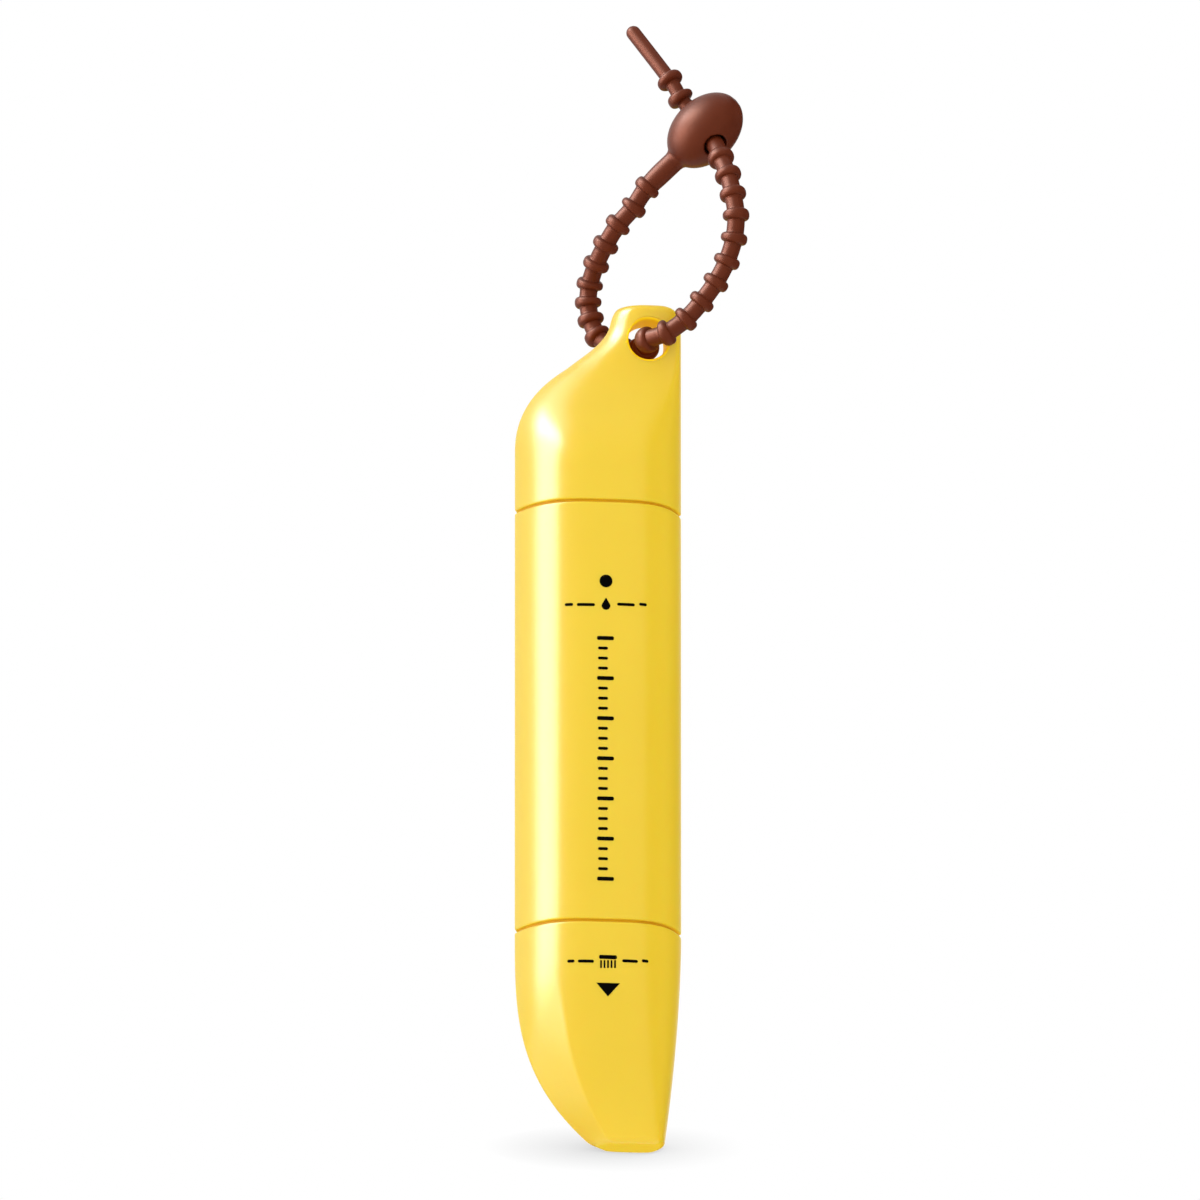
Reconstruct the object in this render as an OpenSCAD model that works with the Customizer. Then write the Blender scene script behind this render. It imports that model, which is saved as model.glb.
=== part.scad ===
// Two-ended stain remover pen: a sprung felt nib under the upper cap, a scrubbing brush under the lower cap.
// The pen stands on the lower cap's foot: +Z runs up the barrel, the flat front faces -Y, and X runs to the right.

/* [Body] */
// Width across the two side ridges
body_w = 27.4; // [25:0.2:31]
// Depth from the front face to the back face
body_d = 22; // [21:0.5:26]
// Width of the nearly flat front and back faces
flat_w = 15.2; // [12:0.2:18]
// How square the section is across its width
side_power = 3.5; // [3:0.1:4]
// How full the section is where its faces run out to the side ridges
face_power = 1.17; // [1.1:0.01:1.3]
// Length of the barrel between the two seams
barrel_len = 70; // [66:1:90]
// Wall of the barrel
barrel_wall = 1.5; // [1.2:0.1:2]
// Height and depth of the shadow groove at each seam
seam_groove = 0.3; // [0.2:0.05:0.5]

/* [Brush cap] */
// Height of the brush cap, from its foot to the lower seam
brush_cap_len = 35.5; // [34:0.5:42]
// Wall of the brush cap
brush_cap_wall = 1.5; // [1.2:0.1:1.8]
// How far the left edge has run in at the foot
toe_left = 12.8; // [10:0.1:14]
// How far the right edge has run in at the foot
toe_right = 2.85; // [1:0.05:4]
// Depth of the foot, front to back
toe_d = 8.7; // [7:0.1:12]
// How late the left edge turns in
toe_left_power = 3.3; // [2.4:0.1:3.8]
// How late the right edge turns in
toe_right_power = 1.75; // [1.4:0.05:2.6]
// How late the faces turn in
toe_d_power = 2.2; // [1.6:0.1:3]
// Radius round the foot
foot_round = 1; // [0.6:0.1:1.4]
// Thickness of the brush cap's floor over the foot
brush_cap_floor = 4; // [3:0.5:6]

/* [Remover cap] */
// Height of the remover cap, from the upper seam to the top of its lug
remover_cap_len = 34.8; // [34:0.2:40]
// Wall of the remover cap
remover_cap_wall = 1.5; // [1.2:0.1:1.7]
// Height over the seam at which the left shoulder starts to turn in
shoulder_start = 10.3; // [8:0.1:11]
// Height over the seam at which the faces start to lean in towards the lug
lean_start = 6.5; // [5:0.5:8]
// Depth below the lug's top at which the faces have reached the lug's thickness
lean_end = 8.3; // [7:0.1:9]
// Thickness of the lug, front to back
lug_d = 7.2; // [6:0.2:9]
// Width of the lug under its rounded top
lug_w = 11.7; // [11:0.1:13]
// Corner radius of the lug's top, seen from the front
lug_round = 2.6; // [1.5:0.1:3]
// Radius of the lug's top edge, front to back
lug_edge = 1.2; // [0.6:0.1:2]
// Diameter of the strap's eyelet
eyelet_d = 6.6; // [6.6:0.1:7]
// Wall between the eyelet and the right side
eyelet_side = 2.5; // [1.6:0.1:3]
// Wall between the eyelet and the lug's top
eyelet_top = 2.6; // [2.2:0.1:3]
// Radius of the eyelet's rims
eyelet_round = 0.5; // [0.3:0.1:0.8]

/* [Necks and seals] */
// Radius of both round necks
neck_r = 7.4; // [7:0.1:7.6]
// Depth to which each collar plugs into the barrel
plug_depth = 9; // [7:0.5:12]
// Height of the step that centres a cap's rim
spigot_h = 1.5; // [1:0.1:2]
// Length of the remover neck beyond its step
remover_neck = 5; // [4.5:0.1:5.5]
// Length of the brush neck beyond its step
brush_neck = 6.8; // [6:0.1:8]
// Thickness of each sealing ring
ring_t = 0.9; // [0.8:0.05:1]
// Depth of the groove that a sealing ring sits in
ring_groove = 0.75; // [0.7:0.05:0.8]
// Wall of the liners' sleeves
liner_wall = 1; // [0.8:0.1:1.1]
// Thickness of the liners' flanges
liner_flange = 1.5; // [1.2:0.1:2]

/* [Nib and valve] */
// Radius of the felt nib
nib_r = 2.4; // [2:0.1:2.6]
// How far the nib stands out of the nozzle
nib_out = 3.2; // [2.4:0.1:3.4]
// How far the nib can be pressed in
nib_travel = 1.5; // [1:0.1:2]
// Height of the nozzle's cone
nozzle_cone = 2.2; // [1.8:0.1:2.4]
// Thickness of the nozzle's flange
nozzle_flange = 0.8; // [0.6:0.1:1]
// Radius of the nozzle's body
nozzle_r = 4.55; // [4.4:0.05:4.8]
// Length of the nozzle's body below its flange
nozzle_len = 14; // [12:0.5:15]
// Radius of the valve chamber inside the nozzle
chamber_r = 3.6; // [3.4:0.05:3.8]
// Thickness of the rubber valve seat
seat_t = 2; // [1.5:0.1:2.4]
// Radius of the valve stem's rod
stem_r = 1.2; // [1:0.1:1.4]
// Radius of the valve stem's lower disc
disc_r = 2; // [1.8:0.1:2.1]
// Mean radius of the valve spring
spring_r = 2.6; // [2.3:0.1:2.8]
// Wire diameter of the valve spring
spring_wire = 0.6; // [0.4:0.05:0.7]
// Turns of the valve spring
spring_turns = 6; // [4:1:6]
// Room between the nib's tip and the liner's roof
nib_room = 4.3; // [4.2:0.05:4.6]

/* [Reservoir] */
// Outer radius of the reservoir tube
tube_r = 8.3; // [8:0.1:8.8]
// Wall of the reservoir tube
tube_wall = 1; // [0.8:0.1:1.2]
// Depth to which the collar's skirt and the bottom plug reach into the tube
tube_plug = 3.5; // [3:0.5:6]

/* [Brush] */
// Radius of the brush head
head_r = 7; // [6.4:0.1:7.1]
// Thickness of the brush head below the neck
head_t = 2; // [1.5:0.1:3]
// Radius of the head's tenon in the neck
tenon_r = 5.4; // [4:0.1:5.8]
// Length of the head's tenon
tenon_len = 4.8; // [4:0.1:6]
// Thickness of the slice of backing that the bristles stand in
backing_t = 1; // [0.8:0.1:1.5]
// Free length of the bristles
bristle_len = 7.7; // [5:0.1:9]
// Radius of one bristle
bristle_r = 0.16; // [0.12:0.01:0.18]
// Spacing of the tufts
tuft_pitch = 1.9; // [1.9:0.05:2.2]

/* [Strap] */
// Diameter over the strap's beads
bead_d = 4.4; // [4:0.1:4.4]
// Length of one bead along the strap
bead_len = 1.7; // [1.2:0.1:2]
// Diameter of the strap between its beads
strap_d = 2.9; // [2.4:0.1:3]
// Diameter of the smooth neck where the strap leaves its ball
strap_neck_d = 3.5; // [3:0.1:3.6]
// Diameter of the strap's smooth tail
tail_d = 2.4; // [2:0.1:2.8]
// Length of the oval ball
ball_len = 14.2; // [13.4:0.1:15]
// Diameter of the oval ball
ball_d = 10.4; // [9.4:0.1:11]
// Diameter of the hole through the ball
ball_hole = 3.9; // [3.6:0.1:4.2]

/* [Clearances] */
// Gap of pieces that are pushed together and stay together
fit = 0.05; // [0.02:0.01:0.1]
// Gap of round pieces that slide
run = 0.05; // [0.03:0.01:0.09]
// Gap of other faces on pieces that move apart
free = 0.3; // [0.25:0.05:0.5]

/* [Hidden] */
$fn = 96;

// Points in a quarter of a section, and so facets along every shell
quarter = 12;

// Half sizes of the section, and the share of its half width that is the flat face
half_w = body_w / 2;
half_d = body_d / 2;
flat_share = flat_w / body_w;
side_run = half_w - flat_w / 2;

// Heights of the two seams and of the lug's top
seam_low = brush_cap_len;
seam_high = brush_cap_len + barrel_len;
top_z = seam_high + remover_cap_len;

// Faces of the collars' steps and necks
step_high = seam_high + spigot_h;
neck_top = step_high + remover_neck;
step_low = seam_low - spigot_h;
neck_bottom = step_low - brush_neck;

// Faces of the nozzle, the nib and the valve
flange_top = neck_top + nozzle_flange;
nozzle_top = flange_top + nozzle_cone;
nib_top = nozzle_top + nib_out;
nozzle_bottom = neck_top - nozzle_len;
lip_t = 1.2;
seat_low = nozzle_bottom + lip_t;
seat_high = seat_low + seat_t;
guide_len = 5;
chamber_top = nozzle_top - guide_len;
stem_flange = 1.4;
spring_top = chamber_top - stem_flange;
lip_r = disc_r + 0.4;

// Reach of the reservoir between the two collars
tube_low = seam_low + plug_depth + 1.2;
tube_high = seam_high - plug_depth;

// Bore of both liners: it runs on the necks' sealing rings
ring_mid_r = neck_r - ring_groove + fit + ring_t / 2;
bore_r = ring_mid_r + ring_t / 2 + run;
roof_z = nib_top + nib_room;
cup_top_r = 3.6;

// Places of the eyelet and of the brush
eyelet_x = half_w - eyelet_side - eyelet_d / 2;
eyelet_z = top_z - eyelet_top - eyelet_d / 2;
head_face = neck_bottom - head_t;
backing_face = head_face - backing_t;

// Left outline of the remover cap: shoulder, flank and lug, as two curves and a rounded corner
flank_angle = 39.5;
lean_angle = 78;
shoulder_from = [-half_w, seam_high + shoulder_start];
flank_at = [-half_w + 8.85, top_z - 10.3];
lug_from = [half_w - lug_w, top_z - lug_round - 0.4];
flank_dir = [cos(flank_angle), sin(flank_angle)];
lean_dir = [cos(lean_angle), sin(lean_angle)];
curve_steps = 9;
corner_steps = 5;

// Places along the strap's route: the ball's hole, the ball's middle and the tail's tip
hole_in = 25;
ball_at = 26;
hole_out = 27;
tail_end = 30;

// Route of the strap from the eyelet's middle, one point to a bead: out of the ball, down behind the lug,
// forward through the eyelet, up in front to the ball, through the ball's hole and out to the tail's tip
strap_points = [
  [4.9, 0.7, 31.2],
  [0.6, 2.7, 26.8], [-1.5, 3.8, 23.7], [-3.9, 5.0, 20.9], [-5.7, 6.6, 17.9],
  [-7.0, 8.6, 15.0], [-7.8, 10.4, 12.0], [-8.0, 10.9, 9.1], [-7.6, 10.7, 6.2], [-6.6, 10.0, 3.4],
  [-4.7, 8.5, 1.3], [-2.6, 6.4, 0.1], [-0.7, 3.6, -0.5], [0.0, -0.1, -0.7], [-0.2, -3.8, -0.2],
  [2.5, -6.3, 0.5], [5.5, -7.6, 2.6], [8.0, -8.5, 5.4], [10.2, -9.4, 8.5], [11.9, -10.2, 11.9],
  [13.0, -10.9, 15.6], [13.3, -11.1, 19.4], [12.9, -10.3, 23.1], [12.3, -8.9, 26.6], [11.4, -7.1, 29.8],
  [10.9, -4.8, 32.4], [9.6, -1.3, 35.8], [8.3, 2.2, 39.2],
  [6.2, 3.2, 42.1], [4.6, 4.3, 45.3], [-1.4, 9.0, 55.0]
];
strap_depth = lug_d / 7.2;
strap_places = [for (p = strap_points) [eyelet_x + p.x, p.y * strap_depth, eyelet_z + p.z]];
ball_centre = strap_places[ball_at];
ball_axis = unit([0.671, -0.305, 0.676]);
neck_at = ball_len / 2 - 0.25;
strap_route = [for (i = [0 : tail_end]) i == 0 ? ball_centre - neck_at * ball_axis : strap_places[i]];
strap_sides = 8;

// Bristles: tufts on a staggered grid, each of one strand inside two rings of strands that lean outwards
tuft_reach = head_r - 1.1;
tuft_rings = [[0, 1, 60], [0.28, 3, 0], [0.56, 6, 30]];
tuft_lean = 2;

function unit(v) = v / norm(v);
function mix(a, b, share) = a + (b - a) * share;
function clamp(x) = min(1, max(0, x));
function smooth(x) = let (c = clamp(x)) c * c * (3 - 2 * c);
function bezier(a, b, c, d, t) =
  pow(1 - t, 3) * a + 3 * pow(1 - t, 2) * t * b + 3 * (1 - t) * t * t * c + t * t * t * d;

// One section of the pen between a left and a right edge, with the runs from those edges to the flat face
function across(share, flat_half, run_out) =
  share < flat_share
    ? flat_half * share / flat_share
    : flat_half + run_out * (share - flat_share) / (1 - flat_share);
function section(left, right, depth, run_left, run_right) =
  let (
    middle = (left + run_left + right - run_right) / 2,
    flat_half = (right - run_right - left - run_left) / 2
  )
  [
    for (i = [0 : 4 * quarter - 1])
      let (
        angle = 90 * i / quarter,
        share = pow(abs(cos(angle)), 2 / side_power),
        side = cos(angle) >= 0 ? 1 : -1,
        face = sin(angle) >= 0 ? 1 : -1
      )
      [
        middle + side * across(share, flat_half, side > 0 ? run_right : run_left),
        face * depth * pow(abs(sin(angle)), 2 / face_power)
      ]
  ];
function body_section(inset) =
  section(-half_w + inset, half_w - inset, half_d - inset, side_run, side_run);

// Closed skin through rings of equal count, which run up the outside and back down the inside
module skin(rings) {
  n = len(rings[0]);
  last = len(rings) - 1;
  polyhedron(
    points = [for (ring = rings) each ring],
    faces = concat(
      [for (k = [0 : last - 1], i = [0 : n - 1])
        [k * n + i, (k + 1) * n + (i + 1) % n, k * n + (i + 1) % n]],
      [for (k = [0 : last - 1], i = [0 : n - 1])
        [k * n + i, (k + 1) * n + i, (k + 1) * n + (i + 1) % n]],
      [[for (i = [0 : n - 1]) i]],
      [[for (i = [n - 1 : -1 : 0]) last * n + i]]
    ),
    convexity = 6
  );
}
function raised(outline, z) = [for (p = outline) [p.x, p.y, z]];

// Round piece from an outline of [radius, height] points
module turned(outline) {
  rotate_extrude() polygon(outline);
}
module tube_piece(outer, inner, low, high) {
  turned([[inner, low], [outer, low], [outer, high], [inner, high]]);
}

// Brush cap's outline at a height: how far the taper has gone is 0 at the seam and 1 at the foot
function toe_share(z) = clamp(1 - z / brush_cap_len);
function toe_round(z) =
  z >= foot_round ? 0 : foot_round - sqrt(foot_round * foot_round - pow(foot_round - max(z, 0), 2));
function toe_section(z, inset) =
  let (
    u = toe_share(z),
    cut = toe_round(z) + inset,
    run_left = mix(side_run, 2.3, pow(u, 4)),
    run_right = mix(side_run, 1.2, u * u)
  )
  section(
    -half_w + toe_left * pow(u, toe_left_power) + cut,
    half_w - toe_right * pow(u, toe_right_power) - cut,
    mix(half_d, toe_d / 2, pow(u, toe_d_power)) - cut,
    run_left,
    run_right
  );

module brush_cap() {
  rim = seam_low;
  step = seam_groove;
  outer_steps = 16;
  inner_steps = 9;
  foot_steps = 4;
  outer = [for (k = [0 : outer_steps]) mix(foot_round, rim - step, k / outer_steps)];
  inner = [for (k = [0 : inner_steps]) mix(rim, brush_cap_floor, k / inner_steps)];
  color("gold")
    skin(concat(
      [for (k = [0 : foot_steps - 1])
        let (z = foot_round * (1 - cos(90 * k / foot_steps))) raised(toe_section(z, 0), z)],
      [for (z = outer) raised(toe_section(z, 0), z)],
      [raised(toe_section(rim - step, step), rim - step), raised(toe_section(rim, step), rim)],
      [for (z = inner)
        raised(toe_section(min(rim, z - brush_cap_wall * (rim - z) / rim), brush_cap_wall), z)]
    ));
}

// Remover cap's outline: points of the left edge from the shoulder to the lug's flat top
left_edge = concat(
  [for (k = [0 : curve_steps - 1])
    bezier(
      shoulder_from,
      shoulder_from + [0, 9.1],
      flank_at - 1.8 * flank_dir,
      flank_at,
      k / curve_steps
    )],
  [for (k = [0 : curve_steps - 1])
    bezier(
      flank_at,
      flank_at + 3.6 * flank_dir,
      lug_from - 3 * lean_dir,
      lug_from,
      k / curve_steps
    )],
  [for (k = [0 : corner_steps])
    bezier(
      lug_from,
      lug_from + lug_round * 0.6 * lean_dir,
      [lug_from.x + lug_round * 0.35, top_z],
      [lug_from.x + lug_round * 0.85, top_z],
      k / corner_steps
    )]
);
left_table = [for (p = left_edge) [p.y, p.x]];

function corner_in(z, radius) =
  let (over = max(0, z - (top_z - radius)))
  radius - sqrt(max(0, radius * radius - over * over));
function lean_share(z) =
  smooth((z - seam_high - lean_start) / (remover_cap_len - lean_start - lean_end));
function lug_section(z, above, inset) =
  let (
    at = z + above,
    lean = lean_share(at),
    run_left = mix(side_run, 1.2, smooth((at - flank_at.y + 6) / (top_z - flank_at.y + 5))),
    run_right = mix(side_run, 1.2, lean)
  )
  section(
    (at < shoulder_from.y ? -half_w : lookup(at, left_table)) + inset,
    half_w - corner_in(at, lug_round) - inset,
    mix(half_d, lug_d / 2, lean) - corner_in(at, lug_edge) - inset,
    run_left,
    run_right
  );

module remover_cap() {
  rim = seam_high;
  step = seam_groove;
  straight_steps = 4;
  inner_steps = 9;
  roof = roof_z + liner_wall + 1;
  straight = [for (k = [0 : straight_steps - 1]) mix(rim + step, shoulder_from.y, k / straight_steps)];
  inner = [for (k = [0 : inner_steps]) mix(rim, roof, k / inner_steps)];
  color("gold")
    difference() {
      skin(concat(
        [for (k = [inner_steps : -1 : 0])
          raised(lug_section(inner[k], remover_cap_wall * k / inner_steps, remover_cap_wall), inner[k])],
        [raised(lug_section(rim, 0, step), rim), raised(lug_section(rim, 0, step), rim + step)],
        [for (z = straight) raised(lug_section(z, 0, 0), z)],
        [for (p = left_edge) raised(lug_section(p.y, 0, 0), p.y)]
      ));
      eyelet_cutter();
    }
}

// Bore along Y with rims that flare by a quarter round at the lug's faces
module eyelet_cutter() {
  r = eyelet_d / 2;
  flare = [for (k = [0 : 6])
    let (a = 90 * k / 6)
    [r + eyelet_round * (1 - cos(a)), lug_d / 2 - eyelet_round * (1 - sin(a)) - 0.1]];
  side = concat(flare, [[r + eyelet_round + 2, lug_d / 2 + 4]]);
  translate([eyelet_x, 0, eyelet_z])
    rotate([90, 0, 0])
      turned(concat(
        [[0, -lug_d / 2 - 4]],
        [for (k = [len(side) - 1 : -1 : 0]) [side[k].x, -side[k].y]],
        side,
        [[0, lug_d / 2 + 4]]
      ));
}

module barrel() {
  color("gold")
    difference() {
      union() {
        translate([0, 0, seam_low + seam_groove])
          linear_extrude(barrel_len - 2 * seam_groove)
            polygon(body_section(0));
        translate([0, 0, seam_low])
          linear_extrude(barrel_len)
            polygon(body_section(seam_groove));
      }
      translate([0, 0, seam_low - 1])
        linear_extrude(barrel_len + 2)
          polygon(body_section(barrel_wall));
    }
}

// Collar: a plug in the barrel, a step that centres the cap and a round neck with a ring's groove
module collar(seam, outwards, cap_wall, neck_len) {
  end = seam + outwards * (spigot_h + neck_len);
  ring_z = seam + outwards * (spigot_h + neck_len / 2);
  slot = ring_t + 2 * fit;
  difference() {
    union() {
      translate([0, 0, outwards > 0 ? seam - plug_depth : seam])
        linear_extrude(plug_depth)
          polygon(body_section(barrel_wall + fit));
      translate([0, 0, outwards > 0 ? seam : seam - spigot_h])
        linear_extrude(spigot_h)
          polygon(body_section(cap_wall + free));
      translate([0, 0, min(seam, end)])
        cylinder(r = neck_r, h = abs(end - seam));
    }
    tube_piece(neck_r + 1, neck_r - ring_groove, ring_z - slot / 2, ring_z + slot / 2);
  }
}
module seal_ring(z) {
  color("dimgray")
    translate([0, 0, z])
      rotate_extrude()
        translate([ring_mid_r, 0])
          circle(d = ring_t, $fn = 32);
}

module remover_collar() {
  bore = nozzle_r + fit;
  skirt_r = tube_r - tube_wall - fit;
  color("white")
    difference() {
      union() {
        collar(seam_high, 1, remover_cap_wall, remover_neck);
        translate([0, 0, tube_high - tube_plug])
          cylinder(r = skirt_r, h = tube_plug + 1);
      }
      translate([0, 0, tube_high - tube_plug - 1])
        cylinder(r = bore, h = neck_top - tube_high + tube_plug + 2);
      translate([0, 0, tube_high - tube_plug - 1])
        cylinder(r = skirt_r - 1.3, h = tube_plug + 1);
    }
}
module remover_seal_ring() {
  seal_ring(step_high + remover_neck / 2);
}

module brush_collar() {
  color("white")
    difference() {
      collar(seam_low, -1, brush_cap_wall, brush_neck);
      translate([0, 0, neck_bottom - 1])
        cylinder(r = tenon_r + fit, h = tenon_len + fit + 1);
      translate([0, 0, seam_low])
        cylinder(r = tube_r - tube_wall, h = tube_low);
    }
}
module brush_seal_ring() {
  seal_ring(step_low - brush_neck / 2);
}

// Liner of the remover cap: flange in the shell, sleeve over the neck and a cup over the nib
module remover_cap_liner() {
  low = step_high + free;
  shelf = flange_top + free;
  sleeve_r = bore_r + liner_wall;
  cup_r = nozzle_r + 0.4;
  color("whitesmoke")
    difference() {
      union() {
        translate([0, 0, low])
          linear_extrude(liner_flange)
            polygon(body_section(remover_cap_wall + fit));
        turned([
          [0, low], [sleeve_r, low], [sleeve_r, shelf], [sleeve_r - 0.6, shelf + liner_wall],
          [cup_r + 0.8, shelf + liner_wall], [cup_top_r + 0.8, roof_z], [cup_top_r, roof_z + 0.8],
          [0, roof_z + 0.8]
        ]);
      }
      turned([
        [0, low - 1], [bore_r, low - 1], [bore_r, shelf], [cup_r, shelf],
        [cup_top_r, roof_z], [0, roof_z]
      ]);
    }
}

// Liner of the brush cap: flange in the shell and a sleeve over the neck
module brush_cap_liner() {
  high = step_low - free;
  low = neck_bottom - 0.5;
  color("whitesmoke")
    difference() {
      union() {
        translate([0, 0, high - liner_flange])
          linear_extrude(liner_flange)
            polygon(toe_section(high - liner_flange - 1, brush_cap_wall + fit));
        translate([0, 0, low])
          cylinder(r = bore_r + liner_wall, h = high - low);
      }
      translate([0, 0, low - 1])
        cylinder(r = bore_r, h = high - low + 2);
    }
}

module nozzle() {
  tip_r = nib_r + run;
  color("white")
    turned([
      [lip_r, nozzle_bottom], [nozzle_r, nozzle_bottom], [nozzle_r, neck_top],
      [neck_r - 1.2, neck_top], [neck_r - 1.2, flange_top - 0.2], [neck_r - 1.4, flange_top],
      [nozzle_r - 0.2, flange_top], [tip_r + 1, nozzle_top], [tip_r, nozzle_top],
      [tip_r, chamber_top], [chamber_r, chamber_top], [chamber_r, seat_low], [lip_r, seat_low]
    ]);
}

module nib() {
  dome = 1.9;
  color("ivory")
    turned(concat(
      [[0, chamber_top], [nib_r, chamber_top]],
      [for (k = [0 : 8])
        [nib_r * cos(90 * k / 8), nib_top - dome + dome * sin(90 * k / 8)]]
    ));
}

module valve_stem() {
  disc_t = 1.5;
  disc_top = seat_low - run;
  color("gainsboro")
    turned([
      [0, disc_top - disc_t], [disc_r - 0.5, disc_top - disc_t], [disc_r, disc_top - disc_t + 0.5],
      [disc_r, disc_top], [stem_r, disc_top], [stem_r, spring_top], [chamber_r - free, spring_top],
      [chamber_r - free, chamber_top], [0, chamber_top]
    ]);
}

module valve_seat() {
  color("dimgray")
    tube_piece(chamber_r - fit, stem_r + free, seat_low, seat_high);
}

// Valve spring: one wire on a helix with open ends, between the seat and the stem's flange
spring_rise = spring_top - seat_high - spring_wire - 2 * fit;
spring_line = [for (k = [0 : 8 * spring_turns])
  [
    spring_r * cos(45 * k),
    spring_r * sin(45 * k),
    seat_high + fit + spring_wire / 2 + spring_rise * k / (8 * spring_turns)
  ]];
spring_gap = min([for (i = [0 : len(spring_line) - 5], j = [i + 4 : len(spring_line) - 1])
  norm(spring_line[i] - spring_line[j])]) - spring_wire;
echo(least_gap_between_spring_turns = spring_gap);

module valve_spring() {
  color("silver")
    sweep(
      spring_line,
      [for (p = spring_line) spring_wire / 2],
      6
    );
}

module reservoir_tube() {
  color("white")
    tube_piece(tube_r, tube_r - tube_wall, tube_low, tube_high);
}
module reservoir_plug() {
  color("whitesmoke")
    turned([
      [0, seam_low + plug_depth], [tube_r, seam_low + plug_depth], [tube_r, tube_low],
      [tube_r - tube_wall - fit, tube_low], [tube_r - tube_wall - fit, tube_low + tube_plug],
      [0, tube_low + tube_plug]
    ]);
}
module fibre_core() {
  low = tube_low + tube_plug + free;
  color("beige")
    translate([0, 0, low])
      cylinder(r = tube_r - tube_wall - free, h = tube_high - tube_plug - free - low);
}

module brush_head() {
  edge = 0.5;
  color("white")
    turned([
      [0, head_face], [head_r - edge, head_face], [head_r, head_face + edge],
      [head_r, neck_bottom], [tenon_r, neck_bottom], [tenon_r, neck_bottom + tenon_len],
      [0, neck_bottom + tenon_len]
    ]);
}

tuft_places = [
  for (row = [-4 : 4], step = [-4 : 4])
    let (p = [tuft_pitch * (step + (row % 2 == 0 ? 0 : 0.5)), tuft_pitch * row * sqrt(3) / 2])
    if (norm(p) <= tuft_reach) p
];
echo(bristle_strands = len(tuft_places) * 10);

module bristles() {
  sink = backing_t / 2;
  color("lightyellow") {
    translate([0, 0, backing_face])
      cylinder(r = head_r - 0.4, h = backing_t);
    for (p = tuft_places, ring = tuft_rings, k = [0 : ring[1] - 1]) {
      turn = 360 * k / ring[1] + ring[2];
      translate([p.x, p.y, backing_face + sink])
        rotate([0, 0, turn])
          translate([ring[0], 0, 0])
            rotate([180, -tuft_lean * ring[0] / 0.56, 0])
              cylinder(r = bristle_r, h = bristle_len + sink, $fn = 3);
    }
  }
}

// Tube along a line with a radius at every point, its rings turned as little as the line allows
module sweep(line, radii, sides, first = undef) {
  last = len(line) - 1;
  ways = [for (i = [0 : last])
    i == 0 && !is_undef(first) ? first : unit(line[min(i + 1, last)] - line[max(i - 1, 0)])];
  start = unit(cross(ways[0], abs(ways[0].z) < 0.9 ? [0, 0, 1] : [1, 0, 0]));
  normals = [for (i = 0, n = start; i <= last; i = i + 1, n = i <= last ? unit(n - (n * ways[i]) * ways[i]) : n) n];
  skin([for (i = [0 : last])
    let (n = normals[i], b = cross(ways[i], n))
    [for (s = [0 : sides - 1])
      line[i] + radii[i] * (cos(360 * s / sides) * n + sin(360 * s / sides) * b)]]);
}

// Smooth curve through the route's points, at a place counted in points
function along(place) =
  let (
    i = min(floor(place), tail_end - 1),
    t = place - i,
    p0 = strap_route[max(i - 1, 0)],
    p1 = strap_route[i],
    p2 = strap_route[i + 1],
    p3 = strap_route[min(i + 2, tail_end)]
  )
  0.5 * (2 * p1 + (p2 - p0) * t + (2 * p0 - 5 * p1 + 4 * p2 - p3) * t * t
    + (3 * p1 - p0 - 3 * p2 + p3) * t * t * t);
function is_bead(i) = i > 0 && i < hole_in || i > hole_out && i < tail_end;
function core_r(i) =
  i > hole_out ? tail_d / 2 : mix(strap_neck_d, strap_d, clamp((i - 1) / 2)) / 2;

// Places along the strap, each with its radius: four rings to a bead, and single rings in the ball
strap_start = [[0, strap_neck_d / 2], [0.5, strap_neck_d / 2]];
strap_beads = [
  for (i = [1 : tail_end - 1])
    if (is_bead(i))
      let (back = norm(strap_route[i] - strap_route[i - 1]), on = norm(strap_route[i + 1] - strap_route[i]))
      each [
        [i - bead_len / 2 / back, core_r(i)], [i - bead_len / 4 / back, bead_d / 2],
        [i + bead_len / 4 / on, bead_d / 2], [i + bead_len / 2 / on, core_r(i)]
      ]
    else each [[i, strap_d / 2]]
];
strap_tip = let (gap = norm(strap_route[tail_end] - strap_route[tail_end - 1]))
  [
    for (k = [0 : 3])
      [tail_end - tail_d / 2 * (1 - sin(90 * k / 4)) / gap, tail_d / 2 * cos(90 * k / 4)]
  ];
strap_stations = concat(strap_start, strap_beads, strap_tip);

module strap_cord() {
  color("sienna")
    sweep(
      [for (s = strap_stations) along(s[0])],
      [for (s = strap_stations) s[1]],
      strap_sides,
      -ball_axis
    );
}

// Oval ball: cut flat where the strap's neck grows out of it, with a hole for the strap's other end
module strap_ball() {
  hole_way = unit(strap_route[hole_out] - strap_route[hole_in]);
  color("sienna")
    difference() {
      translate(ball_centre)
        aim(ball_axis)
          turned(concat(
            [[0, -neck_at]],
            [for (k = [0 : 24])
              let (z = mix(-neck_at, ball_len / 2, k / 24))
              [ball_d / 2 * sqrt(max(0, 1 - pow(2 * z / ball_len, 2))), z]]
          ));
      translate(ball_centre)
        aim(hole_way)
          translate([0, 0, -ball_len])
            cylinder(d = ball_hole, h = 2 * ball_len);
    }
}
module aim(way) {
  rotate([0, acos(way.z), atan2(way.y, way.x)])
    children();
}

barrel();
brush_cap();
brush_cap_liner();
remover_cap();
remover_cap_liner();
remover_collar();
remover_seal_ring();
nozzle();
nib();
valve_stem();
valve_spring();
valve_seat();
reservoir_tube();
fibre_core();
reservoir_plug();
brush_collar();
brush_seal_ring();
brush_head();
bristles();
strap_ball();
strap_cord();
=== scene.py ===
import math
import random

import bpy
from mathutils import Matrix, Vector


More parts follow.
